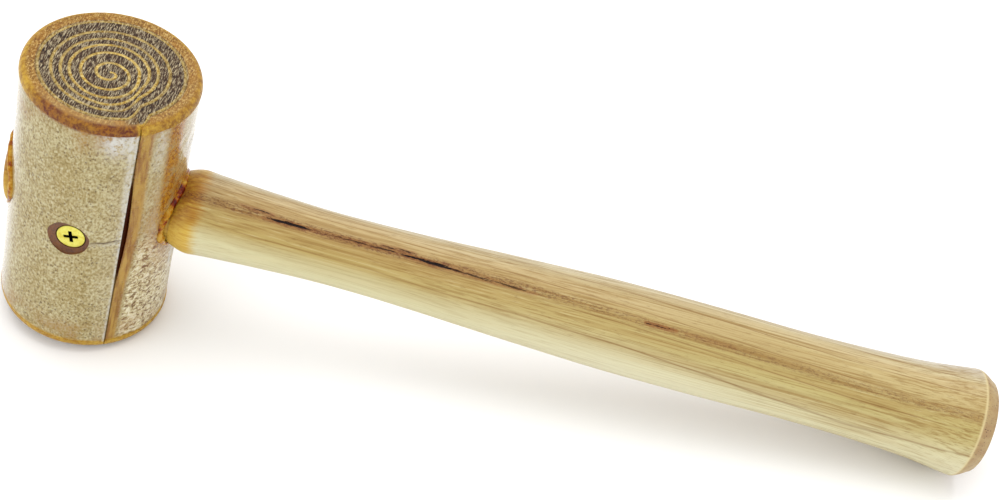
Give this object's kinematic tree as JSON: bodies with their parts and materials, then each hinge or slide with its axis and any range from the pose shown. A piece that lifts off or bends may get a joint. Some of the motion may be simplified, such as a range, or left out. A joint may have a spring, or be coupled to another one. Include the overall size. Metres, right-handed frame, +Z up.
{
  "type": "rolled hide mallet",
  "caption": "Mallet with a cylindrical head of rolled rawhide, locked by a sunk brass screw to a turned wooden handle that passes through it.",
  "frame": {"origin": "on the table, under the middle of the mallet as it lies on the roll's lower rim and the handle's butt", "axes": "+Z up from the table, +X along the handle from the roll to the butt (the handle falls 6.3 degrees towards the butt), -Y the side with the screw"},
  "size_m": [0.3094, 0.0508, 0.0962],
  "materials": {
    "hide": "shellac-coated rawhide, cream with dark pores, satin",
    "handle_wood": "satin, straight grain with dark mineral streaks",
    "wedge_wood": "bare hardwood",
    "brass": "bright yellow-plated, satin"
  },
  "bodies": {
    "root": {"hide_roll": "hide", "handle": "handle_wood", "tenon_wedge": "wedge_wood", "locking_screw": "brass"}
  },
  "joints": []
}
